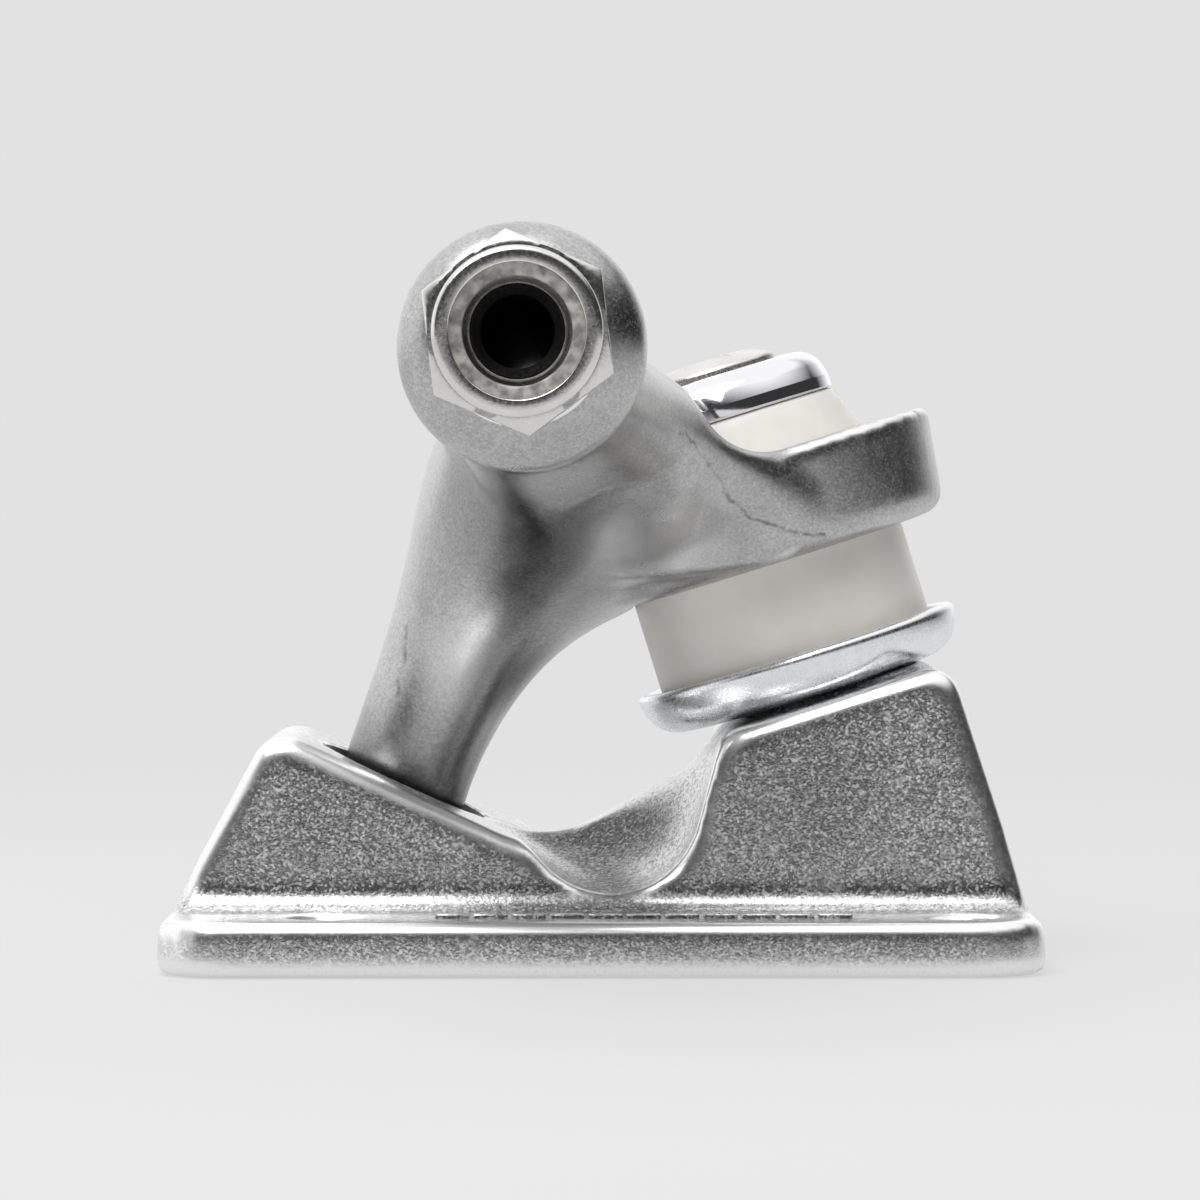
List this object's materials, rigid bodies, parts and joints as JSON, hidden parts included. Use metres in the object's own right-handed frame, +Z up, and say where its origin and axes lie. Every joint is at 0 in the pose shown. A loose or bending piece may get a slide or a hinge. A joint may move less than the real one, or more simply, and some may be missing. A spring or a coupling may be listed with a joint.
{
  "type": "skateboard truck",
  "caption": "Skateboard truck: cast baseplate, kingpin, bushings and washers, and a cast hanger on its axle that leans to steer.",
  "frame": {"origin": "centre of the baseplate's underside, the face that is bolted to the deck", "axes": "+X from the pivot cup towards the kingpin, +Y along the axle, +Z up from the deck face towards the axle"},
  "size_m": [0.0754, 0.215, 0.0615],
  "materials": {
    "baseplate_casting": "tumbled cast aluminium with a coarse grain and bright rounded edges",
    "hanger_casting": "satin cast aluminium",
    "cup_urethane": "matte black urethane",
    "bushing_urethane": "ivory urethane, slightly glossy",
    "kingpin_steel": "zinc-plated steel",
    "axle_steel": "ground steel tube",
    "nut_steel": "zinc-plated steel",
    "washer_zinc": "bright zinc-plated pressed steel",
    "washer_chrome": "polished chrome",
    "nylon": "white nylon"
  },
  "bodies": {
    "base": {"baseplate": "baseplate_casting", "pivot_cup": "cup_urethane", "kingpin": "kingpin_steel", "kingpin_nut": "nut_steel", "kingpin_nut_insert": "nylon", "bottom_washer": "washer_zinc", "bottom_bushing": "bushing_urethane", "top_bushing": "bushing_urethane", "top_washer": "washer_chrome"},
    "hanger": {"hanger": "hanger_casting", "axle": "axle_steel", "axle_nut_left": "nut_steel", "axle_nut_insert_left": "nylon", "axle_nut_right": "nut_steel", "axle_nut_insert_right": "nylon"},
    "speed_washer_left_inner": {"speed_washer_left_inner": "washer_zinc"},
    "speed_washer_left_outer": {"speed_washer_left_outer": "washer_zinc"},
    "speed_washer_right_inner": {"speed_washer_right_inner": "washer_zinc"},
    "speed_washer_right_outer": {"speed_washer_right_outer": "washer_zinc"}
  },
  "joints": [
    {"name": "hanger_lean", "type": "hinge", "parent": "base", "child": "hanger", "pos_m": [-0.0201, 0, 0.009], "axis": [0.7506, 0, 0.6608], "range_deg": [-20, 20], "stiffness_Nm_per_rad": 15, "deforming": ["bottom_bushing", "top_bushing"]},
    {"name": "washer_left_inner_spin", "type": "hinge", "parent": "hanger", "child": "speed_washer_left_inner", "pos_m": [-0.0063, -0.0727, 0.0518], "axis": [0, 1, 0], "continuous": true},
    {"name": "washer_left_outer_spin", "type": "hinge", "parent": "hanger", "child": "speed_washer_left_outer", "pos_m": [-0.0063, -0.0988, 0.0518], "axis": [0, 1, 0], "continuous": true},
    {"name": "washer_right_inner_spin", "type": "hinge", "parent": "hanger", "child": "speed_washer_right_inner", "pos_m": [-0.0063, 0.0727, 0.0518], "axis": [0, 1, 0], "continuous": true},
    {"name": "washer_right_outer_spin", "type": "hinge", "parent": "hanger", "child": "speed_washer_right_outer", "pos_m": [-0.0063, 0.0988, 0.0518], "axis": [0, 1, 0], "continuous": true}
  ]
}
